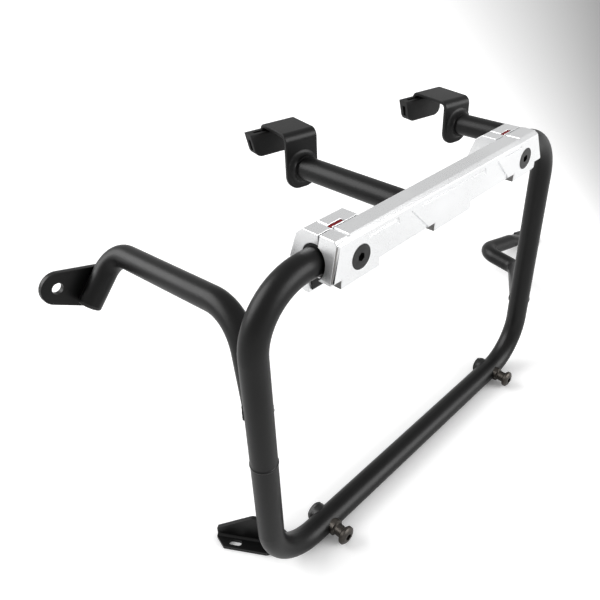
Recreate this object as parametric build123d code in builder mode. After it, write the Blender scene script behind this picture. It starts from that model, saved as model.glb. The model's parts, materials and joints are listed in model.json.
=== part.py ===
import os
from math import cos, radians, sin

from build123d import *

os.makedirs("parts", exist_ok=True)

# Frame: X forward, Y inward to the motorcycle, Z up. The origin is the middle of the tail bolt hole.

# How far a cutting shape reaches past the face it cuts
cut_over = 1.0

# Bent tube loop
tube_d = 18.0
tube_wall = 2.0
loop_length = 329.0
loop_height = 232.5
loop_bend = 41.0
loop_offset = 183.5
rear_leg_x = 27.5
top_tube_z = 60.0
seam_drop = 124.0
seam_bead_r = 1.3
seam_proud = 0.5

# Standoff tubes and hooks
stub_d = 17.4
stub_wall = 2.0
rear_stub_inset = 142.5
front_stub_inset = 36.0
rear_hook_reach = 99.9
front_hook_reach = 63.1
hook_turn = 12.0
rear_hook_shift = -0.2
front_hook_shift = -2.2
hook_w = 27.0
hook_t = 3.0
rear_hook_top = 27.0
front_hook_top = 21.0
rear_hook_depth = 36.6
front_hook_depth = 41.6
hook_drop = 16.5
hook_bend = 6.0
hook_lip = 16.0
hook_corner = 11.0
collar_h = 4.5
collar_land = 1.0
pad_l = 40.0
pad_shift = -5.5
pad_t = 10.0
pad_h = 18.4
pad_slant = 4.0
pad_corner = 7.0
pad_edge = 1.0
pad_slot_extra = 7.0
pocket_w = 3.5
pocket_h = 9.0
pocket_depth = 4.0

# Struts
strut_d = 17.6
strut_wall = 2.0
rear_root_drop = 86.6
rear_knee_ahead = 17.8
rear_knee_in = 33.6
rear_knee_drop = 33.2
rear_knee_bend = 39.0
rear_elbow_x = 44.5
rear_elbow_z = 14.6
rear_elbow_bend = 18.0
rear_end_x = 16.7
rear_end_z = -17.0
cap_t = 2.5
cap_plug = 8.0
cap_round = 1.5
front_root_rise = 61.0
front_knee_ahead = 123.0
front_knee_in = 65.0
front_knee_rise = 11.5
front_elbow_ahead = 128.0
front_elbow_in = 112.0
front_elbow_rise = 15.5
front_strut_bend = 18.0
foot_reach = 112.5
foot_in = 104.0
foot_w = 25.0
foot_t = 5.0
foot_tab = 26.0
foot_taper = 30.0
foot_hole_d = 8.6

# Tail plate
plate_t = 5.0
tail_hole_d = 8.6
plate_end_r = 12.5
plate_edge = 0.6
plate_low = (19.0, -25.0)
plate_high = (37.0, 3.0)
weld_w = 12.0
weld_h = 3.0

# Lower bracket
bracket_ahead = 6.1
bracket_in = 32.4
bracket_turn = 122.0
bracket_t = 3.0
bracket_bend = 5.0
bracket_l = 27.0
bracket_reach = 31.0
bracket_tail_l = 13.0
bracket_tail_h = 10.0
bracket_h = 27.0
bracket_end_h = 9.5
bracket_corner = 4.0
bracket_slope_l = 28.5
leaf_w = 9.5
leaf_back = 17.0
leaf_corner = 4.0
leaf_chamfer = 7.5
bracket_slot_l = 10.0
bracket_slot_w = 4.5
bracket_slot_u = 11.5
bracket_slot_n = 5.0

# Pannier pins
rear_pin_inset = 53.5
front_pin_inset = 43.5
pin_shank_d = 8.0
pin_head_d = 14.5
pin_head_h = 4.5
pin_neck_d = 9.0
pin_neck_l = 7.0
pin_collar_d = 12.5
pin_collar_h = 2.5
pin_collar_edge = 0.6
pin_collar_step = 0.4
pin_under_h = 1.2
pin_head_edge = 0.8
pin_dome_h = 1.8
pin_dome_rise = 0.5
pin_dome_set = 1.74
pin_flat_set = 4.06
hole_play = 0.2
thread_play = 0.05
saddle_d = 15.5
saddle_h = 1.0
pin_nut_h = 3.2
pin_proud = 0.3
nut_af = 13.0
nut_h = 5.0
nut_edge = 0.7
thread_proud = 1.0
hex_af = 5.0
hex_depth = 3.0

# Rail and clamps
rear_screw_inset = 71.75
front_screw_inset = 69.25
rail_face = 17.3
rail_back = 3.3
rail_top = 17.5
rail_low = 8.4
block_low = 14.2
block_in = 22.0
rear_lug_in = 17.0
front_lug_in = 14.2
mid_lug_from = 73.5
mid_lug_to = 116.0
lug_depth = 11.5
rear_end_top = 19.8
front_end_top = 14.5
end_wide = 25.8
end_wide_z = 6.5
end_low = 17.0
end_toe = 9.5
end_rise = 1.4
rail_wall = 5.8
rail_flange = 4.5
rail_edge = 3.0
split_gap = 0.8
bore_play = 0.05
sleeve_t = 1.6
rail_round = 1.2
clamp_face = 21.0
clamp_nose_high = 4.0
clamp_nose_low = 10.0
clamp_shoulder_y = 14.8
clamp_shoulder_z = 13.2
clamp_top_y = 9.3
clamp_low_y = 13.0
clamp_low = 27.0
clamp_lip = 5.0
clamp_corner = 3.0
clamp_web = 11.5
clamp_rear = 20.3
clamp_front = 23.0
clamp_front_top = 13.5
clamp_toe = 18.5
clamp_wide_z = 8.5
seat_d = 18.0
clamp_seat = 14.5
screw_d = 8.0
screw_head_d = 16.0
screw_edge = 0.8
head_play = 0.05
washer_d = 16.5
washer_t = 1.6
groove_w = 1.6
groove_depth = 0.8
groove_x = -8.6
mark_w = 1.0
mark_depth = 0.6
mark_start = 12.6
mark_stop = 16.3
mark_high = 11.0
rear_mark_from = 7.5
rear_mark_to = 33.5
rear_mark_turn = 1.2
rear_mark_drop = 3.5
mid_mark_fall = 0.5
mid_mark_turn = 1.0
mid_mark_drop = 4.5
front_mark_from = 31.0
front_mark_to = 8.3
front_mark_high = 11.3
diag_w = 2.4
diag_depth = 1.2
diag_high_z = 10.0
rear_diag_high = 46.5
rear_diag_low = 65.3
front_diag_high = 41.5
front_diag_low = 23.7
end_line_in = 1.5
insert_l = 10.6
insert_w = 2.4
insert_set = 1.0
insert_h = 4.6
insert_sink = 0.4
insert_edge = 0.4
insert_x = -2.7
insert_play = 0.2

# Values that follow from the sizes above
tube_r = tube_d / 2
stub_r = stub_d / 2
strut_r = strut_d / 2
loop_y = -loop_offset
front_leg_x = rear_leg_x + loop_length
bottom_bar_z = top_tube_z - loop_height
floor_z = bottom_bar_z - tube_r
seam_z = top_tube_z - seam_drop
rear_stub_x = rear_leg_x + rear_stub_inset
front_stub_x = front_leg_x - front_stub_inset
rear_pin_x = rear_leg_x + rear_pin_inset
front_pin_x = front_leg_x - front_pin_inset
rear_screw_x = rear_leg_x + rear_screw_inset
front_screw_x = front_leg_x - front_screw_inset
screw_pitch = front_screw_x - rear_screw_x
rail_mid_x = (rear_screw_x + front_screw_x) / 2
tail_run_y = -plate_t / 2 - strut_r
hook_side = Vector(cos(radians(hook_turn)), -sin(radians(hook_turn)), 0)
hook_in = Vector(sin(radians(hook_turn)), cos(radians(hook_turn)), 0)
hook_way = Axis((0, 0, 0), hook_in)
hook_ends = (
    ("rear", rear_stub_x, rear_hook_reach, rear_hook_shift, rear_hook_top, rear_hook_depth),
    ("front", front_stub_x, front_hook_reach, front_hook_shift, front_hook_top, front_hook_depth),
)
pin_step = (front_pin_x - rear_pin_x, 0, 0)
screw_step = (screw_pitch, 0, 0)

# Working planes
loop_plane = Plane(origin=(0, loop_y, 0), x_dir=(1, 0, 0), z_dir=(0, -1, 0))
rear_leg_axis = Axis((rear_leg_x, loop_y, 0), (0, 0, 1))

# Outside shape of the loop, used only to trim what is welded to it or clamped on it
with BuildPart() as loop_shape:
    with BuildLine(loop_plane) as loop_path:
        FilletPolyline(
            (rear_leg_x, bottom_bar_z),
            (rear_leg_x, top_tube_z),
            (front_leg_x, top_tube_z),
            (front_leg_x, bottom_bar_z),
            radius=loop_bend,
            close=True,
        )
    with BuildSketch(Plane(origin=loop_path.line @ 0, z_dir=loop_path.line % 0)):
        Circle(tube_r)
    sweep(path=loop_path.line)

# Bent tube loop: hollow, with the butt weld bead on its rear leg and the holes for pins and rail screws
with BuildPart() as loop_tube:
    with BuildSketch(Plane(origin=loop_path.line @ 0, z_dir=loop_path.line % 0)):
        Circle(tube_r)
        Circle(tube_r - tube_wall, mode=Mode.SUBTRACT)
    sweep(path=loop_path.line)
    with BuildSketch(loop_plane):
        with Locations((rear_leg_x + tube_r + seam_proud - seam_bead_r, seam_z)):
            Circle(seam_bead_r)
    revolve(axis=rear_leg_axis)
    with BuildSketch(loop_plane):
        with Locations((rear_screw_x, top_tube_z), (front_screw_x, top_tube_z)):
            Circle(screw_d / 2 + hole_play)
        with Locations((rear_pin_x, bottom_bar_z), (front_pin_x, bottom_bar_z)):
            Circle(pin_shank_d / 2 + hole_play)
    extrude(amount=tube_d, both=True, mode=Mode.SUBTRACT)
loop_tube.part.label = "loop_tube"
export_step(loop_tube.part, "parts/loop_tube.step")

for end, stub_x, reach, shift, top, depth in hook_ends:
    # Places of this hook: the strip's leg is turned a little from the standoff tube's square end
    stub_plane = Plane(origin=(stub_x, loop_y, top_tube_z), x_dir=(1, 0, 0), z_dir=(0, 1, 0))
    leg_point = Vector(stub_x, loop_y + reach, top_tube_z)
    leg_plane = Plane(origin=leg_point, x_dir=hook_side, z_dir=hook_in)
    hook_middle = leg_point + hook_side * shift
    fold_side = Plane(origin=hook_middle, x_dir=hook_in, z_dir=hook_side)
    pad_back = depth - hook_t / 2 + pad_t / 2
    pad_top = top - hook_bend
    pad_middle = hook_middle + hook_side * pad_shift + Vector(0, 0, pad_top)

    # Standoff tube, coped to the top tube and cut to the leg of its hook
    with BuildPart() as stub_tube:
        with BuildSketch(stub_plane):
            Circle(stub_r)
            Circle(stub_r - stub_wall, mode=Mode.SUBTRACT)
        extrude(amount=reach + stub_r)
        split(bisect_by=leg_plane, keep=Keep.BOTTOM)
        add(loop_shape.part, mode=Mode.SUBTRACT)
    stub_tube.part.label = f"{end}_stub_tube"
    export_step(stub_tube.part, f"parts/{end}_stub_tube.step")

    # Hook plate: a strip folded twice, seen from its end as an upside-down U
    with BuildPart() as hook_plate:
        with BuildSketch(fold_side):
            with BuildLine():
                outer_skin = FilletPolyline(
                    (0, -hook_drop),
                    (0, top),
                    (depth, top),
                    (depth, top - hook_lip),
                    radius=hook_bend,
                )
                inner_skin = FilletPolyline(
                    (hook_t, -hook_drop),
                    (hook_t, top - hook_t),
                    (depth - hook_t, top - hook_t),
                    (depth - hook_t, top - hook_lip),
                    radius=hook_bend - hook_t,
                )
                Line(outer_skin @ 0, inner_skin @ 0)
                Line(outer_skin @ 1, inner_skin @ 1)
            make_face()
        extrude(amount=hook_w / 2, both=True)
        fillet(hook_plate.edges().filter_by(hook_way).group_by(Axis.Z)[0], hook_corner)
    hook_plate.part.label = f"{end}_hook_plate"
    export_step(hook_plate.part, f"parts/{end}_hook_plate.step")

    # Weld collar between the standoff tube and the leg of the hook plate
    with BuildPart() as hook_weld:
        with BuildSketch(Plane(origin=leg_point, x_dir=hook_side, z_dir=(0, 0, 1))):
            with BuildLine():
                Polyline(
                    (stub_r + collar_land, -collar_h),
                    (0, -collar_h),
                    (0, 0),
                    (stub_r + collar_h, 0),
                )
                RadiusArc((stub_r + collar_h, 0), (stub_r + collar_land, -collar_h), -collar_h)
            make_face()
        revolve(axis=Axis(leg_point, hook_in))
        with BuildSketch(stub_plane):
            Circle(stub_r)
        extrude(amount=reach + stub_r, mode=Mode.SUBTRACT)
    hook_weld.part.label = f"{end}_hook_weld"
    export_step(hook_weld.part, f"parts/{end}_hook_weld.step")

    # Rubber pad pushed on the turned-down lip: rounded lower corners, a pocket in its rear end
    with BuildPart() as hook_pad:
        with BuildSketch(Plane(origin=pad_middle + hook_in * pad_back, x_dir=hook_side, z_dir=hook_in * -1)):
            with BuildLine():
                Polyline(
                    (-pad_l / 2, 0),
                    (-pad_l / 2 + pad_slant, -pad_h),
                    (pad_l / 2, -pad_h),
                    (pad_l / 2, 0),
                    close=True,
                )
            make_face()
        extrude(amount=pad_t)
        fillet(hook_pad.edges().filter_by(hook_way).group_by(Axis.Z)[0], pad_corner)
        fillet(hook_pad.faces().sort_by(hook_way)[0].edges(), pad_edge)
        with BuildSketch(Plane(origin=hook_middle + Vector(0, 0, pad_top), x_dir=hook_side, z_dir=(0, 0, 1))):
            with Locations((hook_w / 2 + hole_play, depth - hook_t)):
                Rectangle(
                    hook_w + hole_play + pad_slot_extra,
                    hook_t,
                    align=(Align.MAX, Align.MIN),
                )
        extrude(amount=hook_bend - hook_lip, mode=Mode.SUBTRACT)
        with BuildSketch(Plane(origin=pad_middle - hook_side * (pad_l / 2), x_dir=hook_in, z_dir=hook_side)):
            with Locations((depth - hook_t / 2, -pad_h / 2)):
                Rectangle(pocket_w, pocket_h)
        extrude(amount=pocket_depth, mode=Mode.SUBTRACT)
    hook_pad.part.label = f"{end}_hook_pad"
    export_step(hook_pad.part, f"parts/{end}_hook_pad.step")

# Rear strut: leaves the rear leg, turns inward at the knee and down to the tail plate at the elbow
rear_knee = (rear_leg_x + rear_knee_ahead, loop_y + rear_knee_in, top_tube_z - rear_knee_drop)
elbow_point = (rear_elbow_x, tail_run_y, rear_elbow_z)
tail_point = (rear_end_x, tail_run_y, rear_end_z)
with BuildPart() as rear_strut_tube:
    with BuildLine() as rear_strut_path:
        FilletPolyline(
            (rear_leg_x, loop_y, top_tube_z - rear_root_drop),
            rear_knee,
            elbow_point,
            tail_point,
            radius=(rear_knee_bend, rear_elbow_bend),
        )
    with BuildSketch(Plane(origin=rear_strut_path.line @ 0, z_dir=rear_strut_path.line % 0)):
        Circle(strut_r)
        Circle(strut_r - strut_wall, mode=Mode.SUBTRACT)
    sweep(path=rear_strut_path.line)
    add(loop_shape.part, mode=Mode.SUBTRACT)
rear_strut_tube.part.label = "rear_strut_tube"
export_step(rear_strut_tube.part, "parts/rear_strut_tube.step")

# Plastic cap in the open end of the rear strut
cap_plane = Plane(origin=rear_strut_path.line @ 1, z_dir=rear_strut_path.line % 1)
with BuildPart() as rear_strut_cap:
    with BuildSketch(cap_plane):
        Circle(strut_r)
    extrude(amount=cap_t)
    fillet(rear_strut_cap.edges().sort_by(Axis(cap_plane.origin, cap_plane.z_dir))[-1], cap_round)
    with BuildSketch(cap_plane):
        Circle(strut_r - strut_wall - thread_play)
    extrude(amount=-cap_plug)
rear_strut_cap.part.label = "rear_strut_cap"
export_step(rear_strut_cap.part, "parts/rear_strut_cap.step")

# Tail plate: flat tab with the tail bolt hole, its inner edge lying along the strut's last run
tail_plane = Plane(origin=(0, plate_t / 2, 0), x_dir=(1, 0, 0), z_dir=(0, -1, 0))
with BuildPart() as tail_plate:
    with BuildSketch(tail_plane):
        with BuildLine():
            CenterArc((0, 0), plate_end_r, 0, 360)
            Line(plate_low, plate_high)
        make_hull()
    extrude(amount=plate_t)
    chamfer(tail_plate.edges().group_by(Axis.Y)[-1], plate_edge)
    with BuildSketch(tail_plane):
        Circle(tail_hole_d / 2)
    extrude(amount=plate_t, mode=Mode.SUBTRACT)
tail_plate.part.label = "tail_plate"
export_step(tail_plate.part, "parts/tail_plate.step")

# Weld between the strut's last run and the tail plate: two fillets, one each side of the tube
weld_plane = Plane(origin=tail_point, x_dir=(0, 1, 0), z_dir=rear_strut_path.line % 1)
with BuildPart() as tail_weld:
    with BuildSketch(weld_plane):
        with Locations((strut_r - weld_h / 2, 0)):
            Rectangle(weld_h, weld_w)
        Circle(strut_r, mode=Mode.SUBTRACT)
    extrude(amount=-strut_d)
tail_weld.part.label = "tail_weld"
export_step(tail_weld.part, "parts/tail_weld.step")

# Front strut: tube bent twice, its end pressed flat to a foot with a bolt hole
front_knee = (front_leg_x + front_knee_ahead, loop_y + front_knee_in, bottom_bar_z + front_knee_rise)
front_elbow = Vector(
    front_leg_x + front_elbow_ahead,
    loop_y + front_elbow_in,
    bottom_bar_z + front_elbow_rise,
)
foot_end = Vector(front_elbow.X + foot_reach, loop_y + foot_in, floor_z + foot_t / 2)
foot_way = (foot_end - front_elbow).normalized()
foot_side = foot_way.cross(Vector(0, 0, 1)).normalized()
foot_start = foot_end - foot_way * foot_tab
taper_start = foot_start - foot_way * foot_taper
with BuildPart() as front_strut_tube:
    with BuildLine() as front_strut_path:
        FilletPolyline(
            (front_leg_x, loop_y, bottom_bar_z + front_root_rise),
            front_knee,
            front_elbow,
            taper_start,
            radius=front_strut_bend,
        )
    with BuildSketch(Plane(origin=front_strut_path.line @ 0, z_dir=front_strut_path.line % 0)):
        Circle(strut_r)
        Circle(strut_r - strut_wall, mode=Mode.SUBTRACT)
    sweep(path=front_strut_path.line)
    add(loop_shape.part, mode=Mode.SUBTRACT)
    with BuildSketch(Plane(origin=taper_start, x_dir=foot_side, z_dir=foot_way)):
        Circle(strut_r)
    with BuildSketch(Plane(origin=foot_start, x_dir=foot_side, z_dir=foot_way)):
        Ellipse(foot_w / 2, foot_t / 2)
    loft()
    with BuildSketch(Plane(origin=foot_start, x_dir=foot_way, z_dir=foot_side.cross(foot_way))):
        with Locations((foot_tab / 2 - foot_w / 4, 0)):
            Rectangle(foot_tab - foot_w / 2, foot_w)
        with Locations((foot_tab - foot_w / 2, 0)):
            Circle(foot_w / 2)
            Circle(foot_hole_d / 2, mode=Mode.SUBTRACT)
    extrude(amount=foot_t / 2, both=True)
front_strut_tube.part.label = "front_strut_tube"
export_step(front_strut_tube.part, "parts/front_strut_tube.step")

# Lower bracket: folded sheet, upright leaf welded to the lower rear bend, flat leaf with a slot
along = Vector(cos(radians(bracket_turn)), sin(radians(bracket_turn)), 0)
inward = Vector(sin(radians(bracket_turn)), -cos(radians(bracket_turn)), 0)
fold_point = Vector(rear_leg_x + bracket_ahead, loop_y + bracket_in, floor_z)
free_end = fold_point + along * bracket_l - inward * leaf_w
fold_plane = Plane(origin=fold_point - along * bracket_reach, x_dir=inward, z_dir=along * -1)
leaf_plane = Plane(origin=fold_point, x_dir=along, z_dir=inward)
flat_plane = Plane(origin=fold_point, x_dir=along, z_dir=(0, 0, 1))
with BuildPart() as lower_bracket:
    with BuildSketch(fold_plane):
        with BuildLine():
            under_skin = FilletPolyline(
                (-leaf_w, 0),
                (bracket_t, 0),
                (bracket_t, bracket_h),
                radius=bracket_bend,
            )
            upper_skin = FilletPolyline(
                (-leaf_w, bracket_t),
                (0, bracket_t),
                (0, bracket_h),
                radius=bracket_bend - bracket_t,
            )
            Line(under_skin @ 0, upper_skin @ 0)
            Line(under_skin @ 1, upper_skin @ 1)
        make_face()
    extrude(amount=-bracket_reach - bracket_l)
    with BuildSketch(leaf_plane):
        with BuildLine():
            Polyline(
                (bracket_l - bracket_slope_l, bracket_h),
                (bracket_l, bracket_end_h),
                (bracket_l + cut_over, bracket_h + cut_over),
                close=True,
            )
        make_face()
        with BuildLine():
            Polyline(
                (bracket_tail_l - bracket_reach, bracket_h),
                (-bracket_reach, bracket_tail_h),
                (-bracket_reach - cut_over, bracket_h + cut_over),
                close=True,
            )
        make_face()
    extrude(amount=2 * bracket_t, both=True, mode=Mode.SUBTRACT)
    with BuildSketch(flat_plane):
        with Locations(((-bracket_reach - leaf_back) / 2, leaf_w / 2 + bracket_bend / 2)):
            Rectangle(bracket_reach - leaf_back, leaf_w + bracket_bend)
        with Locations((bracket_slot_u, bracket_slot_n)):
            SlotOverall(bracket_slot_l, bracket_slot_w)
    extrude(amount=2 * bracket_t, mode=Mode.SUBTRACT)
    free_edges = lower_bracket.edges().filter_by(Axis.Z).sort_by(Axis(fold_point, inward * -1))[-2:]
    free_edges = free_edges.sort_by(Axis(fold_point, along))
    fillet(free_edges[0], leaf_corner)
    chamfer(lower_bracket.edges().filter_by(Axis.Z).sort_by(Axis(free_end, along - inward))[-1], leaf_chamfer)
    top_edges = lower_bracket.edges().filter_by(Axis(fold_point, inward)).sort_by(Axis.Z)[-3:]
    fillet(top_edges, bracket_corner)
    add(loop_shape.part, mode=Mode.SUBTRACT)
lower_bracket.part.label = "lower_bracket"
export_step(lower_bracket.part, "parts/lower_bracket.step")

# Half profile of a pannier pin: collar, waisted neck and mushroom head, outward from the bar's axis
neck_start = -tube_r - pin_collar_h
neck_end = neck_start - pin_neck_l
pin_out = pin_head_h - neck_end
pin_in = tube_r + saddle_h + pin_nut_h + pin_proud
with BuildSketch() as pin_profile:
    with BuildLine():
        Polyline(
            (0, 0),
            (pin_collar_d / 2, 0),
            (pin_collar_d / 2, neck_start + pin_collar_edge),
            (pin_neck_d / 2 + pin_collar_step, neck_start),
            (pin_neck_d / 2, neck_start - pin_collar_edge),
            (pin_neck_d / 2, neck_end + pin_under_h),
            (pin_head_d / 2 - pin_head_edge, neck_end),
            (pin_head_d / 2, neck_end - pin_head_edge),
            (pin_head_d / 2, -pin_out + pin_dome_h),
        )
        ThreePointArc(
            (pin_head_d / 2, -pin_out + pin_dome_h),
            (pin_head_d / 2 - pin_dome_set, -pin_out + pin_dome_rise),
            (pin_head_d / 2 - pin_flat_set, -pin_out),
        )
        Polyline((pin_head_d / 2 - pin_flat_set, -pin_out), (0, -pin_out), (0, 0))
    make_face()

# Rear pannier pin: the collar sits on the round bar, the shank goes through it, the head has a hex socket
with BuildPart() as rear_pannier_pin:
    with BuildSketch(Plane(origin=(rear_pin_x, loop_y, bottom_bar_z))):
        add(pin_profile.sketch)
    revolve(axis=Axis((rear_pin_x, loop_y, bottom_bar_z), (0, 1, 0)))
    add(loop_shape.part, mode=Mode.SUBTRACT)
    with BuildSketch(Plane(origin=(rear_pin_x, loop_y + neck_start, bottom_bar_z), z_dir=(0, 1, 0))):
        Circle(pin_shank_d / 2)
    extrude(amount=pin_in - neck_start)
    with BuildSketch(Plane(origin=(rear_pin_x, loop_y - pin_out, bottom_bar_z), z_dir=(0, 1, 0))):
        RegularPolygon(hex_af / 2, 6, major_radius=False)
    extrude(amount=hex_depth, mode=Mode.SUBTRACT)
rear_pannier_pin.part.label = "rear_pannier_pin"
export_step(rear_pannier_pin.part, "parts/rear_pannier_pin.step")

# Front pannier pin: the same turning, its collar trimmed where the front bend starts
with BuildPart() as front_pannier_pin:
    with BuildSketch(Plane(origin=(front_pin_x, loop_y, bottom_bar_z))):
        add(pin_profile.sketch)
    revolve(axis=Axis((front_pin_x, loop_y, bottom_bar_z), (0, 1, 0)))
    add(loop_shape.part, mode=Mode.SUBTRACT)
    with BuildSketch(Plane(origin=(front_pin_x, loop_y + neck_start, bottom_bar_z), z_dir=(0, 1, 0))):
        Circle(pin_shank_d / 2)
    extrude(amount=pin_in - neck_start)
    with BuildSketch(Plane(origin=(front_pin_x, loop_y - pin_out, bottom_bar_z), z_dir=(0, 1, 0))):
        RegularPolygon(hex_af / 2, 6, major_radius=False)
    extrude(amount=hex_depth, mode=Mode.SUBTRACT)
front_pannier_pin.part.label = "front_pannier_pin"
export_step(front_pannier_pin.part, "parts/front_pannier_pin.step")

# Saddle washer of the rear pin: round outside, hollowed to sit on the bar
with BuildPart() as rear_pin_washer:
    with BuildSketch(Plane(origin=(rear_pin_x, loop_y, bottom_bar_z), z_dir=(0, 1, 0))):
        Circle(saddle_d / 2)
        Circle(pin_shank_d / 2 + hole_play, mode=Mode.SUBTRACT)
    extrude(amount=tube_r + saddle_h)
    add(loop_shape.part, mode=Mode.SUBTRACT)
rear_pin_washer.part.label = "rear_pin_washer"
export_step(rear_pin_washer.part, "parts/rear_pin_washer.step")

# Saddle washer of the front pin
with BuildPart() as front_pin_washer:
    with Locations(pin_step):
        add(rear_pin_washer.part)
    add(loop_shape.part, mode=Mode.SUBTRACT)
front_pin_washer.part.label = "front_pin_washer"
export_step(front_pin_washer.part, "parts/front_pin_washer.step")

# Nut of the rear pin: hexagon with its outer corners turned off
pin_nut_plane = Plane(origin=(rear_pin_x, loop_y + tube_r + saddle_h, bottom_bar_z), z_dir=(0, 1, 0))
with BuildPart() as rear_pin_nut:
    with BuildSketch(pin_nut_plane):
        RegularPolygon(nut_af / 2, 6, major_radius=False)
        Circle(pin_shank_d / 2 + thread_play, mode=Mode.SUBTRACT)
    extrude(amount=pin_nut_h)
    with BuildSketch(pin_nut_plane.offset(pin_nut_h)):
        Circle(nut_af / 2 - nut_edge / 2)
    extrude(amount=-pin_nut_h, taper=-60, mode=Mode.INTERSECT)
rear_pin_nut.part.label = "rear_pin_nut"
export_step(rear_pin_nut.part, "parts/rear_pin_nut.step")

# Nut of the front pin
with BuildPart() as front_pin_nut:
    with Locations(pin_step):
        add(rear_pin_nut.part)
front_pin_nut.part.label = "front_pin_nut"
export_step(front_pin_nut.part, "parts/front_pin_nut.step")

# Rail: outer half of the clamp, solid end blocks joined by a channel, with three lugs along the lower edge
rail_plane = Plane(origin=(rail_mid_x, loop_y - rail_face, top_tube_z), x_dir=(1, 0, 0), z_dir=(0, -1, 0))
rail_side = Plane(origin=(rail_mid_x, loop_y, top_tube_z), x_dir=(0, 1, 0), z_dir=(1, 0, 0))
rail_over = Plane(origin=(rail_mid_x, loop_y, top_tube_z + rail_top), x_dir=(1, 0, 0), z_dir=(0, 0, 1))
half_pitch = screw_pitch / 2
channel_l = screw_pitch - 2 * block_in
mark_from = rear_diag_high + mark_start - half_pitch
mark_to = half_pitch - front_diag_high - mark_stop
with BuildPart() as rail:
    with BuildSketch(rail_plane):
        with BuildLine():
            Polyline(
                (-half_pitch - rear_end_top, rail_top),
                (-half_pitch - end_wide, -end_wide_z),
                (-half_pitch - end_wide, -rail_low),
                (-half_pitch - end_low, -rail_low),
                (-half_pitch - end_low, -block_low),
                (-half_pitch + rear_lug_in, -block_low),
                (-half_pitch + rear_lug_in, -rail_low),
                (-half_pitch + mid_lug_from, -rail_low),
                (-half_pitch + mid_lug_from, -block_low),
                (-half_pitch + mid_lug_to, -block_low),
                (-half_pitch + mid_lug_to, -rail_low),
                (half_pitch - front_lug_in, -rail_low),
                (half_pitch - front_lug_in, -block_low),
                (half_pitch + end_toe, -block_low),
                (half_pitch + end_low, -block_low + end_rise),
                (half_pitch + end_low, -rail_low),
                (half_pitch + end_wide, -rail_low),
                (half_pitch + end_wide, -end_wide_z),
                (half_pitch + front_end_top, rail_top),
                close=True,
            )
        make_face()
    extrude(amount=rail_back - rail_face)
    face_edges = rail.faces().sort_by(Axis.Y)[0].edges()
    fillet(face_edges.sort_by(Axis.Z)[:-1], rail_round)
    with BuildSketch(rail_side):
        with Locations((-rail_face + rail_wall, rail_top - rail_flange)):
            Rectangle(rail_face, 2 * rail_face, align=(Align.MIN, Align.MAX))
    extrude(amount=channel_l / 2, both=True, mode=Mode.SUBTRACT)
    with BuildSketch(rail_plane.offset(-rail_wall / 2)):
        with Locations((-half_pitch + mid_lug_from, -rail_low)):
            Rectangle(mid_lug_to - mid_lug_from, block_low - rail_low, align=(Align.MIN, Align.MAX))
    extrude(amount=rail_wall / 2 - lug_depth)
    with BuildSketch(rail_side):
        Circle(tube_r + sleeve_t + bore_play)
        with BuildLine():
            Polyline(
                (-rail_face - cut_over, rail_top - rail_edge - cut_over),
                (-rail_face - cut_over, rail_top + cut_over),
                (-rail_face + rail_edge + cut_over, rail_top + cut_over),
                close=True,
            )
        make_face()
    extrude(amount=screw_pitch, both=True, mode=Mode.SUBTRACT)
    add(loop_shape.part, mode=Mode.SUBTRACT)
    with BuildSketch(rail_plane):
        with BuildLine():
            Polyline(
                (rear_mark_from - half_pitch, mark_high),
                (rear_mark_to - half_pitch, mark_high),
                (rear_mark_to + rear_mark_turn - half_pitch, mark_high - rear_mark_drop),
            )
        trace(line_width=mark_w)
        with BuildLine():
            Polyline(
                (mark_from, mark_high),
                (mark_to, mark_high - mid_mark_fall),
                (mark_to + mid_mark_turn, mark_high - mid_mark_drop),
            )
        trace(line_width=mark_w)
        with BuildLine():
            Line(
                (half_pitch - front_mark_from, front_mark_high),
                (half_pitch - front_mark_to, front_mark_high),
            )
        trace(line_width=mark_w)
        with BuildLine():
            Polyline(
                (end_line_in - half_pitch - rear_end_top, rail_top),
                (end_line_in - half_pitch - end_wide, -end_wide_z),
            )
        trace(line_width=mark_w)
    extrude(amount=-mark_depth, mode=Mode.SUBTRACT)
    with BuildSketch(rail_plane):
        with BuildLine():
            Line((rear_diag_high - half_pitch, diag_high_z), (rear_diag_low - half_pitch, -rail_low))
        trace(line_width=diag_w)
        with BuildLine():
            Line((half_pitch - front_diag_high, diag_high_z), (half_pitch - front_diag_low, -rail_low))
        trace(line_width=diag_w)
    extrude(amount=-diag_depth, mode=Mode.SUBTRACT)
    with BuildSketch(rail_over):
        with Locations((-half_pitch + groove_x, -rail_face / 2), (half_pitch + groove_x, -rail_face / 2)):
            Rectangle(groove_w, rail_face)
    extrude(amount=-groove_depth, mode=Mode.SUBTRACT)
    with BuildSketch(rail_plane):
        with Locations((-half_pitch, 0), (half_pitch, 0)):
            Circle(screw_d / 2 + hole_play)
    extrude(amount=-rail_face, mode=Mode.SUBTRACT)
    with BuildSketch(rail_plane):
        with Locations((-half_pitch, 0), (half_pitch, 0)):
            Circle(screw_head_d / 2 + head_play)
    extrude(amount=-(screw_head_d - screw_d) / 2, taper=45, mode=Mode.SUBTRACT)
rail.part.label = "rail"
export_step(rail.part, "parts/rail.step")

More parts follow.
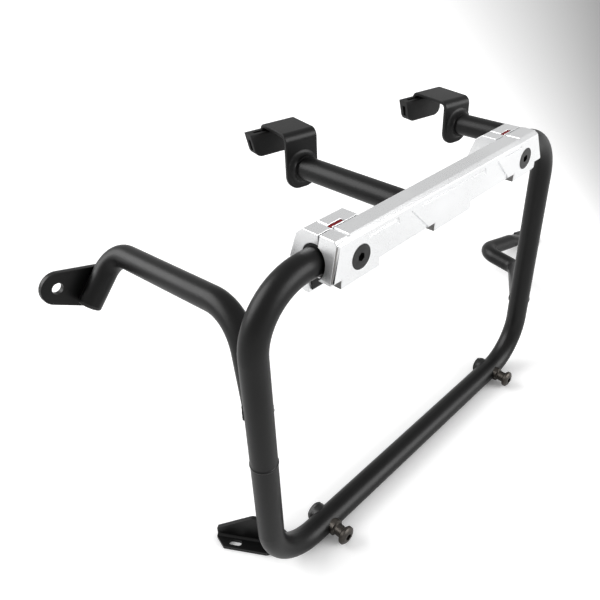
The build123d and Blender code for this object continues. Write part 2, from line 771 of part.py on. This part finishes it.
# Rear clamp: inner half, shield shaped, with a lip hanging below the tube and a round pocket for the nut
clamp_in = rail_back - split_gap
clamp_plane = Plane(origin=(rear_screw_x, loop_y - clamp_in, top_tube_z), x_dir=(1, 0, 0), z_dir=(0, -1, 0))
clamp_side = Plane(origin=(rear_screw_x, loop_y, top_tube_z), x_dir=(0, 1, 0), z_dir=(1, 0, 0))
seat_plane = Plane(origin=(rear_screw_x, loop_y + clamp_seat, top_tube_z), z_dir=(0, 1, 0))
clamp_over = Plane(origin=(rear_screw_x, loop_y - clamp_in, top_tube_z + rail_top), z_dir=(0, 0, 1))
with BuildPart() as rear_clamp:
    with BuildSketch(clamp_plane):
        with BuildLine():
            Polyline(
                (-clamp_rear, rail_top),
                (-clamp_rear, -clamp_wide_z),
                (-clamp_toe, -clamp_low),
                (clamp_front - clamp_corner, -clamp_low),
                (clamp_front, -clamp_low + clamp_corner),
                (clamp_front, -clamp_wide_z),
                (clamp_front_top, rail_top),
                close=True,
            )
        make_face()
    extrude(amount=-clamp_in - clamp_face)
    with BuildSketch(clamp_side):
        Circle(tube_r + sleeve_t + bore_play)
        with Locations((clamp_low_y - clamp_lip, -clamp_web)):
            Rectangle(2 * clamp_face, 2 * clamp_low, align=(Align.MAX, Align.MAX))
        with BuildLine():
            Polyline(
                (clamp_top_y, rail_top + cut_over),
                (clamp_top_y, rail_top),
                (clamp_shoulder_y, clamp_shoulder_z),
                (clamp_face, -clamp_nose_high),
                (clamp_face, -clamp_nose_low),
                (clamp_low_y, -clamp_low),
                (clamp_low_y, -clamp_low - cut_over),
                (clamp_face + cut_over, -clamp_low - cut_over),
                (clamp_face + cut_over, rail_top + cut_over),
                close=True,
            )
        make_face()
    extrude(amount=screw_pitch / 4, both=True, mode=Mode.SUBTRACT)
    add(loop_shape.part, mode=Mode.SUBTRACT)
    with BuildSketch(seat_plane):
        Circle(seat_d / 2)
    extrude(amount=clamp_face, mode=Mode.SUBTRACT)
    with BuildSketch(seat_plane):
        Circle(screw_d / 2 + hole_play)
    extrude(amount=-clamp_seat - clamp_in, mode=Mode.SUBTRACT)
    with BuildSketch(clamp_over):
        with Locations((insert_x, insert_set)):
            Rectangle(insert_l + 2 * insert_play, insert_w + 2 * insert_play, align=(Align.CENTER, Align.MIN))
    extrude(amount=-insert_h - insert_play - insert_sink, mode=Mode.SUBTRACT)
    with BuildSketch(clamp_over):
        with Locations((groove_x, clamp_face / 2)):
            Rectangle(groove_w, clamp_face)
    extrude(amount=-groove_depth, mode=Mode.SUBTRACT)
rear_clamp.part.label = "rear_clamp"
export_step(rear_clamp.part, "parts/rear_clamp.step")

# Front clamp, the same half
with BuildPart() as front_clamp:
    with Locations(screw_step):
        add(rear_clamp.part)
front_clamp.part.label = "front_clamp"
export_step(front_clamp.part, "parts/front_clamp.step")

# Rubber sleeve on the tube inside the rear clamp
with BuildPart() as rear_clamp_sleeve:
    with BuildSketch(clamp_side.offset(-clamp_rear)):
        Circle(tube_r + sleeve_t)
        Circle(tube_r + bore_play, mode=Mode.SUBTRACT)
    extrude(amount=clamp_rear + clamp_front)
    with BuildSketch(seat_plane):
        Circle(screw_d / 2 + hole_play)
    extrude(amount=-2 * clamp_face, mode=Mode.SUBTRACT)
rear_clamp_sleeve.part.label = "rear_clamp_sleeve"
export_step(rear_clamp_sleeve.part, "parts/rear_clamp_sleeve.step")

# Rubber sleeve inside the front clamp
with BuildPart() as front_clamp_sleeve:
    with Locations(screw_step):
        add(rear_clamp_sleeve.part)
front_clamp_sleeve.part.label = "front_clamp_sleeve"
export_step(front_clamp_sleeve.part, "parts/front_clamp_sleeve.step")

# Red insert in the slot of the rear clamp
insert_plane = Plane(
    origin=(rear_screw_x, loop_y - clamp_in, top_tube_z + rail_top - insert_h - insert_play - insert_sink),
    z_dir=(0, 0, 1),
)
with BuildPart() as rear_red_insert:
    with BuildSketch(insert_plane):
        with Locations((insert_x, insert_set + insert_play)):
            Rectangle(insert_l, insert_w, align=(Align.CENTER, Align.MIN))
    extrude(amount=insert_h)
    chamfer(rear_red_insert.edges().group_by(Axis.Z)[-1], insert_edge)
rear_red_insert.part.label = "rear_red_insert"
export_step(rear_red_insert.part, "parts/rear_red_insert.step")

# Red insert in the slot of the front clamp
with BuildPart() as front_red_insert:
    with Locations(screw_step):
        add(rear_red_insert.part)
front_red_insert.part.label = "front_red_insert"
export_step(front_red_insert.part, "parts/front_red_insert.step")

# Rear rail screw: countersunk, hex socket, through rail, tube and clamp to its nut
screw_end = clamp_seat + washer_t + nut_h + thread_proud
with BuildPart() as rear_rail_screw:
    with BuildSketch(Plane(origin=(rear_screw_x, loop_y, top_tube_z), z_dir=(0, 0, 1))):
        with BuildLine():
            Polyline(
                (0, -rail_face),
                (screw_head_d / 2, -rail_face),
                (screw_d / 2, -rail_face + (screw_head_d - screw_d) / 2),
                (screw_d / 2, screw_end - screw_edge),
                (screw_d / 2 - screw_edge, screw_end),
                (0, screw_end),
                close=True,
            )
        make_face()
    revolve(axis=Axis((rear_screw_x, loop_y, top_tube_z), (0, 1, 0)))
    with BuildSketch(Plane(origin=(rear_screw_x, loop_y - rail_face, top_tube_z), z_dir=(0, 1, 0))):
        RegularPolygon(hex_af / 2, 6, major_radius=False)
    extrude(amount=hex_depth, mode=Mode.SUBTRACT)
rear_rail_screw.part.label = "rear_rail_screw"
export_step(rear_rail_screw.part, "parts/rear_rail_screw.step")

# Front rail screw
with BuildPart() as front_rail_screw:
    with Locations(screw_step):
        add(rear_rail_screw.part)
front_rail_screw.part.label = "front_rail_screw"
export_step(front_rail_screw.part, "parts/front_rail_screw.step")

# Washer of the rear rail screw
with BuildPart() as rear_clamp_washer:
    with BuildSketch(seat_plane):
        Circle(washer_d / 2)
        Circle(screw_d / 2 + hole_play, mode=Mode.SUBTRACT)
    extrude(amount=washer_t)
rear_clamp_washer.part.label = "rear_clamp_washer"
export_step(rear_clamp_washer.part, "parts/rear_clamp_washer.step")

# Washer of the front rail screw
with BuildPart() as front_clamp_washer:
    with Locations(screw_step):
        add(rear_clamp_washer.part)
front_clamp_washer.part.label = "front_clamp_washer"
export_step(front_clamp_washer.part, "parts/front_clamp_washer.step")

# Nut of the rear rail screw
clamp_nut_plane = seat_plane.offset(washer_t)
with BuildPart() as rear_clamp_nut:
    with BuildSketch(clamp_nut_plane):
        RegularPolygon(nut_af / 2, 6, major_radius=False)
        Circle(screw_d / 2 + thread_play, mode=Mode.SUBTRACT)
    extrude(amount=nut_h)
    with BuildSketch(clamp_nut_plane.offset(nut_h)):
        Circle(nut_af / 2 - nut_edge / 2)
    extrude(amount=-nut_h, taper=-60, mode=Mode.INTERSECT)
rear_clamp_nut.part.label = "rear_clamp_nut"
export_step(rear_clamp_nut.part, "parts/rear_clamp_nut.step")

# Nut of the front rail screw
with BuildPart() as front_clamp_nut:
    with Locations(screw_step):
        add(rear_clamp_nut.part)
front_clamp_nut.part.label = "front_clamp_nut"
export_step(front_clamp_nut.part, "parts/front_clamp_nut.step")
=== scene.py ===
import json
import math

import bmesh
import bpy
from mathutils import Matrix, Vector


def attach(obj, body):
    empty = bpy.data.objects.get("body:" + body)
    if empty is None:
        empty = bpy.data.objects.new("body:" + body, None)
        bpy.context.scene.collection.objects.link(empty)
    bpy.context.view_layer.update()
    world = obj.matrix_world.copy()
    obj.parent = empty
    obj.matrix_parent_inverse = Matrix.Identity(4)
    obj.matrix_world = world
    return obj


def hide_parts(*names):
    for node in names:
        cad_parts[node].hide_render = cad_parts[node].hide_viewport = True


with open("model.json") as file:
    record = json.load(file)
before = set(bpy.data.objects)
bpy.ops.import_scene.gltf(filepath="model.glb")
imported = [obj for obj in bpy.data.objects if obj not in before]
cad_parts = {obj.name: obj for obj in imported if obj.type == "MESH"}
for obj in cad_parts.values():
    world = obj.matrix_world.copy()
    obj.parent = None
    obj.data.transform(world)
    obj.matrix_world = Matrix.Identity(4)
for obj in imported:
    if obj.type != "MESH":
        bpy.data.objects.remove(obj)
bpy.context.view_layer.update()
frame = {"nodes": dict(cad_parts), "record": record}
SLOT_OF = {part["node"]: part["material_slot"] for part in frame["record"]["subparts"]}

# Sizes in millimetres, the same as in the CAD source, and the factor to Blender's metres
MM = 0.001
TUBE_R = 9.0
STUB_R = 8.7
STRUT_R = 8.8
LOOP_Y = -183.5
TOP_Z = 60.0
BOTTOM_Z = -172.5
FLOOR_Z = BOTTOM_Z - TUBE_R
REAR_LEG_X = 27.5
FRONT_LEG_X = 356.5
REAR_STUB_X = 170.0
FRONT_STUB_X = 320.5
REAR_SCREW_X = 99.25
FRONT_SCREW_X = 287.25

# Each strut's root on its leg and its first bend
REAR_ROOT = (REAR_LEG_X, LOOP_Y, TOP_Z - 86.6)
REAR_KNEE = (REAR_LEG_X + 17.8, LOOP_Y + 33.6, TOP_Z - 33.2)
FRONT_ROOT = (FRONT_LEG_X, LOOP_Y, BOTTOM_Z + 61.0)
FRONT_KNEE = (FRONT_LEG_X + 123.0, LOOP_Y + 65.0, BOTTOM_Z + 11.5)

# Strips in each clamp, a dark painted-shade strip in the split, the shim over it and a dark painted-shade
# strip on the lip: low and high corner, from where the screw crosses the top tube's axis
SPLIT_SHADE_STRIP = ((-19.7, -3.25, 10.4), (13.0, -2.55, 14.0))
SPLIT_SHIM = ((-17.5, -3.28, 14.1), (12.0, -2.52, 15.4))
LIP_SHADE_STRIP = ((-16.5, 6.9, -25.2), (19.0, 7.95, -12.6))

# Painted shade on the rail, dark plates on the lug ends and a dark line down the seam at the rear end:
# corners from a lug's rear side, and the ends of the seam from the rear screw
LUG_SHADE_PLATE = ((-0.3, -16.7, -14.1), (-0.02, -6.0, -8.5))
REAR_LUG_X = REAR_SCREW_X - 17.0
MIDDLE_LUG_X = REAR_SCREW_X + 73.5
FRONT_LUG_X = FRONT_SCREW_X - 14.2
SEAM_TOP = (-20.05, -16.85, 14.6)
SEAM_FOOT = (-25.25, -16.85, -6.6)
SEAM_R = 0.55

# Weld beads: radius of each, and how far their ripples swell as a share of it
REAR_STUB_BEAD_R = 1.0
FRONT_STUB_BEAD_R = 0.7
STRUT_BEAD_R = 1.0
RIPPLE = 0.16

# Rounding of outer edges by piece, the pieces where it is held back, and that of the small blocks
EDGE_WIDTHS = {
    "rear_hook_plate": 0.5,
    "front_hook_plate": 0.5,
    "tail_plate": 0.5,
    "lower_bracket": 0.5,
    "rail": 0.55,
    "rear_clamp": 0.38,
    "front_clamp": 0.38,
}
CROWDED = ("lower_bracket",)
BLOCK_EDGE = 0.2

# Copied shapes: corners this close and faces this flat become one, and edges this sharp get rounded
MERGE_WITHIN = 0.03
FLAT_WITHIN = math.radians(0.6)
SHARP_FROM = math.radians(30)

# Camera fitted to the tube outlines of the photograph, for an image of 600 by 600
IMAGE = 600
SENSOR = 36.0
FOCAL_PX = 647.5
AXIS_PX = (312.6, 272.5)
CAMERA_AT = (-144.45, -405.3, 251.8)
CAMERA_RIGHT = Vector((0.6940, -0.7193, -0.0314))
CAMERA_UP = Vector((0.4043, 0.3532, 0.8437))

# Floor: size and middle in metres, white level, light added for the lens, the mirrors' share of that,
# and how far from the part, in metres, that added light is held back as painted contact shade
FLOOR_SIZE = 40
FLOOR_X = 0.2
PAPER_LEVEL = 0.86
PAPER_LIFT = 0.58
MIRROR_SHARE = 0.62
CONTACT_REACH = 0.025

# Painted shade on the floor, a grey fan: its point in metres from the floor's middle, how fast it pales
# with the turn about that point, and the turns in radians over which its other side pales
FAN_AT = (0.3, -0.3)
FAN_RATE = 1.8
FAN_START = 0.51
FAN_END_FROM = 0.41
FAN_END_TO = 0.15

# White floor in front of the part: from where to where it sets in, in metres, and how strongly
FRONT_FROM = -0.19
FRONT_TO = -0.25
FRONT_LIFT = 9.0

# Air around the part: its level for soft light, for mirrored rays and for the lens
AIR_SOFT = 0.08
AIR_MIRRORED = 0.64
AIR_SEEN = 1.0

# Softboxes: name, the way toward it, strength and spread in degrees
SOFTBOXES = (
    ("softbox_front", (0.42, -0.88, 0.34), 2.6, 44.0),
    ("softbox_left", (-0.5, 0.7, 0.52), 2.8, 48.0),
)

# Sockets of a Mix node that blends colours
MIX_FACTOR = 0
MIX_FIRST = 6
MIX_SECOND = 7
MIX_RESULT = 2


class Value:
    """A shader socket: arithmetic on it adds Math nodes to its tree."""

    def __init__(self, shading, socket):
        self.shading = shading
        self.socket = socket

    def maths(self, operation, first, second):
        return self.shading.node("ShaderNodeMath", {"operation": operation}, {0: first, 1: second})

    def __add__(self, other):
        return self.maths("ADD", self, other)

    def __radd__(self, other):
        return self.maths("ADD", other, self)

    def __sub__(self, other):
        return self.maths("SUBTRACT", self, other)

    def __rsub__(self, other):
        return self.maths("SUBTRACT", other, self)

    def __mul__(self, other):
        return self.maths("MULTIPLY", self, other)

    def __rmul__(self, other):
        return self.maths("MULTIPLY", other, self)


class Shading:
    """A tree of shader nodes, for a finish or for the air around the part."""

    def __init__(self, tree):
        self.tree = tree

    def node(self, kind, settings, inputs, output=0):
        """Add a node: its settings first, then a value or a link for each socket."""
        made = self.tree.nodes.new(kind)
        for name, value in settings.items():
            setattr(made, name, value)
        for name, value in inputs.items():
            if isinstance(value, Value):
                self.tree.links.new(value.socket, made.inputs[name])
            else:
                made.inputs[name].default_value = value
        return Value(self, made.outputs[output])

    def ray(self, kind):
        """One for light paths of this kind, and zero for others."""
        return self.node("ShaderNodeLightPath", {}, {}, kind)

    def blend(self, factor, first, second):
        """A colour between two others."""
        sockets = {MIX_FACTOR: factor, MIX_FIRST: first, MIX_SECOND: second}
        return self.node("ShaderNodeMix", {"data_type": "RGBA"}, sockets, MIX_RESULT)

    def ramp(self, value, low, high):
        """Zero at low and one at high, straight between them and level beyond."""
        sockets = {"Value": value, "From Min": low, "From Max": high, "To Min": 0.0, "To Max": 1.0}
        return self.node("ShaderNodeMapRange", {"clamp": True}, sockets)


class Finish(Shading):
    """One procedural material, with a Principled shader and object coordinates."""

    def __init__(self, name, constants):
        self.material = bpy.data.materials.new(name)
        self.material.use_nodes = True
        super().__init__(self.material.node_tree)
        self.tree.nodes.clear()
        output = self.tree.nodes.new("ShaderNodeOutputMaterial")
        self.shader = self.tree.nodes.new("ShaderNodeBsdfPrincipled")
        self.tree.links.new(self.shader.outputs["BSDF"], output.inputs["Surface"])
        for socket, value in constants.items():
            self.shader.inputs[socket].default_value = value
        self.place = self.node("ShaderNodeTexCoord", {}, {}, "Object")

    def noise(self, scale, detail=2.0, roughness=0.5):
        sockets = {"Vector": self.place, "Scale": scale, "Detail": detail, "Roughness": roughness}
        return self.node("ShaderNodeTexNoise", {}, sockets)

    def patches(self, cloud):
        """Soft patches out of a cloud's middle tones."""
        return self.ramp(cloud, 0.3, 0.7)

    def feed(self, socket, value):
        self.tree.links.new(value.socket, self.shader.inputs[socket])

    def bump(self, height, strength, depth):
        """Relief on the surface, its depth in millimetres."""
        sockets = {"Strength": strength, "Distance": depth * MM, "Height": height}
        self.feed("Normal", self.node("ShaderNodeBump", {}, sockets))


def grey(level, warmth=0.0):
    """A grey that leans to red, or to blue where warmth is below zero."""
    return (level * (1 + warmth), level, level * (1 - warmth), 1.0)


def powder_coat():
    """Black powder coat: pebbled skin, faint clouds and fine paler flecks."""
    finish = Finish("black_powder_coat", {"Specular IOR Level": 0.25})
    grain = finish.noise(scale=900.0, detail=3.0, roughness=0.6)
    cloud = finish.noise(scale=35.0, detail=3.0)
    fleck = finish.ramp(finish.noise(scale=2600.0, detail=1.0), 0.62, 0.74)
    paler = finish.patches(cloud) * 0.6 + fleck * 0.4
    finish.feed("Base Color", finish.blend(paler, grey(0.002), grey(0.006)))
    finish.feed("Roughness", 0.30 + cloud * 0.10 + grain * 0.08)
    finish.bump(grain, strength=0.35, depth=0.12)
    return finish.material


def satin_aluminium():
    """Satin aluminium of the rail and clamps: bright, with a fine tooth."""
    finish = Finish("satin_aluminium", {"Specular IOR Level": 0.5})
    grain = finish.noise(scale=1500.0, detail=3.0, roughness=0.65)
    cloud = finish.noise(scale=28.0, detail=3.0)
    paler = finish.patches(cloud)
    finish.feed("Base Color", finish.blend(paler, grey(0.86, -0.006), grey(0.92, -0.006)))
    finish.feed("Metallic", 0.80 + cloud * 0.1)
    finish.feed("Roughness", 0.20 + grain * 0.12 + cloud * 0.06)
    finish.bump(grain, strength=0.25, depth=0.06)
    return finish.material


def painted_shade_metal():
    """Dull dark grey metal with grain, for the painted shade on the lug ends and down the rail's rear seam.
    """
    finish = Finish("painted_shade_metal", {"Specular IOR Level": 0.4})
    grain = finish.noise(scale=900.0, detail=4.0, roughness=0.65)
    cloud = finish.noise(scale=120.0, detail=3.0)
    paler = finish.patches(cloud)
    finish.feed("Base Color", finish.blend(paler, grey(0.20, 0.02), grey(0.28, 0.02)))
    finish.feed("Metallic", 0.35 + cloud * 0.1)
    finish.feed("Roughness", 0.5 + grain * 0.2)
    finish.bump(grain, strength=0.4, depth=0.12)
    return finish.material


def oxide_steel(name, level, warmth):
    """Blackened steel of the screws, washers, nuts and pins."""
    finish = Finish(name, {"Specular IOR Level": 0.5})
    grain = finish.noise(scale=1100.0)
    cloud = finish.noise(scale=160.0, detail=3.0)
    dark = grey(level * 0.75, warmth)
    pale = grey(level * 1.3, warmth)
    finish.feed("Base Color", finish.blend(finish.patches(cloud), dark, pale))
    finish.feed("Metallic", 0.75 + cloud * 0.15)
    finish.feed("Roughness", 0.30 + grain * 0.16)
    finish.bump(grain, strength=0.2, depth=0.05)
    return finish.material


def moulded(name, colour, rough, grain_scale, depth, gloss=0.4):
    """Rubber or plastic out of a mould, with the mould's grain."""
    finish = Finish(name, {"Specular IOR Level": gloss})
    grain = finish.noise(scale=grain_scale, detail=3.0, roughness=0.6)
    cloud = finish.noise(scale=60.0)
    pale = tuple(min(1.0, share * 1.5) for share in colour[:3]) + (1.0,)
    finish.feed("Base Color", finish.blend(finish.patches(cloud), colour, pale))
    finish.feed("Roughness", rough + grain * 0.14)
    finish.bump(grain, strength=0.4, depth=depth)
    return finish.material


RED = (0.20, 0.004, 0.006, 1.0)
FINISHES = {
    "black_powder_coat": powder_coat(),
    "satin_aluminium": satin_aluminium(),
    "dark_fastener": oxide_steel("dark_fastener", level=0.035, warmth=0.0),
    "pin_steel": oxide_steel("pin_steel", level=0.05, warmth=0.12),
    "black_rubber": moulded("black_rubber", grey(0.004), rough=0.62, grain_scale=1400.0, depth=0.12),
    "red_plastic": moulded("red_plastic", RED, rough=0.42, grain_scale=900.0, depth=0.05, gloss=0.1),
    "black_plastic": moulded("black_plastic", grey(0.012), rough=0.5, grain_scale=1000.0, depth=0.08),
}
PAINTED_SHADE_METAL = painted_shade_metal()


def deselect():
    bpy.ops.object.select_all(action="DESELECT")


def wear_finish(piece, material):
    piece.data.materials.clear()
    piece.data.materials.append(material)


def wear_slot(piece, slot):
    """Give a new piece its slot's finish, and let it ride on the part."""
    wear_finish(piece, FINISHES[slot])
    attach(piece, "root")


def shape_by(piece, kind, **settings):
    """Add a modifier to the active piece, set it and apply it."""
    modifier = piece.modifiers.new(kind.lower(), kind)
    for name, value in settings.items():
        setattr(modifier, name, value)
    bpy.ops.object.modifier_apply(modifier=modifier.name)


def by_top_tube(x, offset):
    """A place in metres, from an x along the top tube and an offset from the axis there."""
    return Vector((x + offset[0], LOOP_Y + offset[1], TOP_Z + offset[2])) * MM


def block(name, low, high, slot):
    """A small block between two corners, its edges eased."""
    deselect()
    bpy.ops.mesh.primitive_cube_add(size=1.0)
    piece = bpy.context.object
    piece.name = name
    bpy.ops.object.mode_set(mode="EDIT")
    bpy.ops.mesh.select_all(action="SELECT")
    bpy.ops.transform.resize(value=high - low)
    bpy.ops.transform.translate(value=(low + high) / 2)
    bpy.ops.object.mode_set(mode="OBJECT")
    shape_by(piece, "BEVEL", width=BLOCK_EDGE * MM, segments=2)
    bpy.ops.object.shade_smooth_by_angle(angle=math.radians(32))
    wear_slot(piece, slot)
    return piece


def rod(name, start, end, radius, slot):
    """A thin round strip between two points."""
    deselect()
    bpy.ops.curve.primitive_nurbs_path_add(radius=1.0)
    strip = bpy.context.object
    strip.name = name
    line = strip.data.splines[0]
    last = len(line.points) - 1
    for index, point in enumerate(line.points):
        point.co = (*start.lerp(end, index / last), 1.0)
    line.use_endpoint_u = True
    strip.data.bevel_depth = radius * MM
    strip.data.bevel_resolution = 3
    strip.data.use_fill_caps = True
    bpy.ops.object.convert(target="MESH")
    strip = bpy.context.object
    bpy.ops.object.shade_smooth_by_angle(angle=math.radians(40))
    wear_slot(strip, slot)
    return strip


def weld_bead(name, points, radius):
    """A closed bead along a joint, its ripples made by a radius that swells and shrinks."""
    deselect()
    bpy.ops.curve.primitive_nurbs_circle_add(radius=1.0)
    bead = bpy.context.object
    bead.name = name
    line = bead.data.splines[0]
    line.points.add(len(points) - len(line.points))
    for index, (point, at) in enumerate(zip(line.points, points)):
        point.co = (*at, 1.0)
        point.radius = 1.0 + RIPPLE * math.cos(index * math.pi)
    line.use_cyclic_u = True
    bead.data.bevel_depth = radius * MM
    bead.data.bevel_resolution = 3
    bead.data.resolution_u = 2
    bpy.ops.object.convert(target="MESH")
    bpy.ops.object.shade_smooth()
    wear_slot(bpy.context.object, "black_powder_coat")


def stub_joint(x, count=72):
    """Points in metres around the joint of a standoff tube and the top tube."""
    points = []
    for step in range(count):
        turn = 2 * math.pi * step / count
        along = STUB_R * MM * math.cos(turn)
        height = STUB_R * MM * math.sin(turn)
        inward = math.sqrt((TUBE_R * MM)**2 - height**2)
        points.append((x * MM + along, LOOP_Y * MM + inward, TOP_Z * MM + height))
    return points


def strut_joint(root, knee, count=80):
    """Points in metres around the joint of a strut and an upright leg of the loop."""
    root = Vector(root) * MM
    way = (Vector(knee) * MM - root).normalized()
    side = way.cross(Vector((0, 0, 1))).normalized()
    over = side.cross(way)
    flat = way.x**2 + way.y**2
    points = []
    for step in range(count):
        turn = 2 * math.pi * step / count
        rim = STRUT_R * MM * (math.cos(turn) * side + math.sin(turn) * over)
        half = rim.x * way.x + rim.y * way.y
        short = rim.x**2 + rim.y**2 - (TUBE_R * MM)**2
        reach = (-half + math.sqrt(half**2 - flat * short)) / flat
        points.append(root + rim + reach * way)
    return points


def copy_of(name):
    """A copy of a CAD node's shape, selected and active, its loose triangles merged to whole faces."""
    deselect()
    piece = bpy.data.objects.new(name + "_edged", frame["nodes"][name].data.copy())
    bpy.context.scene.collection.objects.link(piece)
    piece.select_set(True)
    bpy.context.view_layer.objects.active = piece
    bpy.ops.object.mode_set(mode="EDIT")
    bpy.ops.mesh.select_all(action="SELECT")
    bpy.ops.mesh.remove_doubles(threshold=MERGE_WITHIN * MM)
    bpy.ops.mesh.dissolve_limited(angle_limit=FLAT_WITHIN)
    bpy.ops.object.mode_set(mode="OBJECT")
    return piece


def weigh_outer_edges(mesh):
    """Mark the sharp edges that stand out, and not those at the foot of a groove, for the bevel."""
    shape = bmesh.new()
    shape.from_mesh(mesh)
    weight = shape.edges.layers.float.new("bevel_weight_edge")
    for edge in shape.edges:
        if edge.is_manifold and edge.is_convex and edge.calc_face_angle() > SHARP_FROM:
            edge[weight] = 1.0
    shape.to_mesh(mesh)
    shape.free()


def softened(name, width):
    """A node's own shape with its outer edges rounded, as a coated or tumbled edge is."""
    piece = copy_of(name)
    weigh_outer_edges(piece.data)
    # Where edges lie too close for the full width, the bevel is held back so that none of it overlaps
    held = name in CROWDED
    shape_by(piece, "BEVEL", width=width * MM, segments=2, limit_method="WEIGHT", use_clamp_overlap=held)
    bpy.ops.object.shade_smooth_by_angle(angle=math.radians(50))
    shape_by(piece, "WEIGHTED_NORMAL", weight=100, keep_sharp=True)
    wear_slot(piece, SLOT_OF[name])
    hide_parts(name)


def clamp_strips():
    """A dark strip of painted shade and a shim in the split of each clamp, and a dark strip of painted
    shade on its lip.
    """
    for end, screw_x in (("rear", REAR_SCREW_X), ("front", FRONT_SCREW_X)):
        # The black rubber strips are painted shade in the split and along the lip.
        for strip, corners, slot in (
            ("_split_shade_strip", SPLIT_SHADE_STRIP, "black_rubber"),
            ("_split_shim", SPLIT_SHIM, "satin_aluminium"),
            ("_lip_shade_strip", LIP_SHADE_STRIP, "black_rubber"),
        ):
            low, high = (by_top_tube(screw_x, corner) for corner in corners)
            block(end + strip, low, high, slot)


def lug_shade_plates():
    """A dark plate on the end of each lug along the rail's lower edge, as painted shade."""
    for name, lug_x in (
        ("rear_lug_shade_plate", REAR_LUG_X),
        ("middle_lug_shade_plate", MIDDLE_LUG_X),
        ("front_lug_shade_plate", FRONT_LUG_X),
    ):
        low, high = (by_top_tube(lug_x, corner) for corner in LUG_SHADE_PLATE)
        wear_finish(block(name, low, high, "satin_aluminium"), PAINTED_SHADE_METAL)


def rail_end_shade_line():
    """A dark line down the rail's slanted rear end, as painted shade along the seam there."""
    top = by_top_tube(REAR_SCREW_X, SEAM_TOP)
    foot = by_top_tube(REAR_SCREW_X, SEAM_FOOT)
    wear_finish(rod("rail_end_shade_line", top, foot, SEAM_R, "satin_aluminium"), PAINTED_SHADE_METAL)


def weld_beads():
    """Beads around the four tube joints."""
    weld_bead("rear_stub_bead", stub_joint(REAR_STUB_X), REAR_STUB_BEAD_R)
    weld_bead("front_stub_bead", stub_joint(FRONT_STUB_X), FRONT_STUB_BEAD_R)
    weld_bead("rear_strut_bead", strut_joint(REAR_ROOT, REAR_KNEE), STRUT_BEAD_R)
    weld_bead("front_strut_bead", strut_joint(FRONT_ROOT, FRONT_KNEE), STRUT_BEAD_R)


def painted_fan_shade(finish):
    """Painted shade on the floor: one over most of it, falling toward zero in a fan far off to the right of
    the part.
    """
    away = finish.node("ShaderNodeSeparateXYZ", {}, {"Vector": finish.place}, "X")
    inward = finish.node("ShaderNodeSeparateXYZ", {}, {"Vector": finish.place}, "Y")
    sides = {0: inward - FAN_AT[1], 1: away - FAN_AT[0]}
    turn = finish.node("ShaderNodeMath", {"operation": "ARCTAN2"}, sides)
    in_front = finish.ramp(inward, FRONT_FROM, FRONT_TO)
    dim = finish.ramp(turn * FAN_RATE + in_front * FRONT_LIFT - FAN_START, 0.0, 1.0)
    past = finish.ramp(turn, FAN_END_FROM, FAN_END_TO)
    return finish.node("ShaderNodeMath", {"operation": "MAXIMUM"}, {0: dim, 1: past})


def paper():
    """Floor finish: white but for the painted fan shade, lifted for lens and mirrors, the lift held back
    close under the part as painted contact shade.
    """
    finish = Finish("studio_paper", {"Roughness": 0.8, "Specular IOR Level": 0.0, "Emission Strength": 1.0})
    mirrored = finish.ray("Is Glossy Ray") + finish.ray("Is Transmission Ray")
    seen = finish.ray("Is Camera Ray") + mirrored * MIRROR_SHARE
    # The fan darkens both the floor's colour and its added light: painted shade.
    fan_shade_mask = painted_fan_shade(finish)
    finish.feed("Base Color", finish.blend(fan_shade_mask, grey(0.0), grey(PAPER_LEVEL)))
    # Ambient occlusion darkens the added light near the part: painted contact shade.
    reach = {"Distance": CONTACT_REACH}
    open_air = finish.node("ShaderNodeAmbientOcclusion", {"samples": 16}, reach, "AO")
    finish.feed("Emission Color", finish.blend(seen * fan_shade_mask * open_air, grey(0.0), grey(PAPER_LIFT)))
    return finish.material


def studio_floor():
    deselect()
    bpy.ops.mesh.primitive_plane_add(size=FLOOR_SIZE, location=(FLOOR_X, 0, FLOOR_Z * MM))
    floor = bpy.context.object
    floor.name = "studio_floor"
    floor.data.materials.append(paper())


def studio_air():
    """Dim light from all around, brighter in mirrors and white to the lens."""
    world = bpy.data.worlds.new("studio_air")
    bpy.context.scene.world = world
    world.use_nodes = True
    air = Shading(world.node_tree)
    around = air.blend(air.ray("Is Glossy Ray"), grey(AIR_SOFT), grey(AIR_MIRRORED))
    shown = air.blend(air.ray("Is Camera Ray"), around, grey(AIR_SEEN))
    background = world.node_tree.nodes["Background"]
    background.inputs["Strength"].default_value = 1.0
    world.node_tree.links.new(shown.socket, background.inputs["Color"])


def softboxes():
    for name, toward, power, spread in SOFTBOXES:
        lamp = bpy.data.lights.new(name, "SUN")
        lamp.energy = power
        lamp.angle = math.radians(spread)
        holder = bpy.data.objects.new(name, lamp)
        bpy.context.scene.collection.objects.link(holder)
        holder.rotation_euler = Vector(toward).to_track_quat("Z", "Y").to_euler()


def photo_camera():
    lens = bpy.data.cameras.new("photo_camera")
    lens.sensor_width = SENSOR
    lens.sensor_height = SENSOR
    lens.lens = SENSOR * FOCAL_PX / IMAGE
    lens.shift_x = (IMAGE / 2 - AXIS_PX[0]) / IMAGE
    lens.shift_y = (AXIS_PX[1] - IMAGE / 2) / IMAGE
    lens.clip_start = 0.01
    holder = bpy.data.objects.new("photo_camera", lens)
    bpy.context.scene.collection.objects.link(holder)
    right = CAMERA_RIGHT.normalized()
    back = right.cross(CAMERA_UP).normalized()
    up = back.cross(right)
    turn = Matrix((right, up, back)).transposed()
    holder.matrix_world = Matrix.Translation(Vector(CAMERA_AT) * MM) @ turn.to_4x4()
    bpy.context.scene.camera = holder


for node, slot in SLOT_OF.items():
    wear_finish(frame["nodes"][node], FINISHES[slot])
clamp_strips()
lug_shade_plates()
rail_end_shade_line()
weld_beads()
for node, width in EDGE_WIDTHS.items():
    softened(node, width)

studio_floor()
studio_air()
softboxes()
photo_camera()
bpy.context.scene.view_settings.view_transform = "Standard"
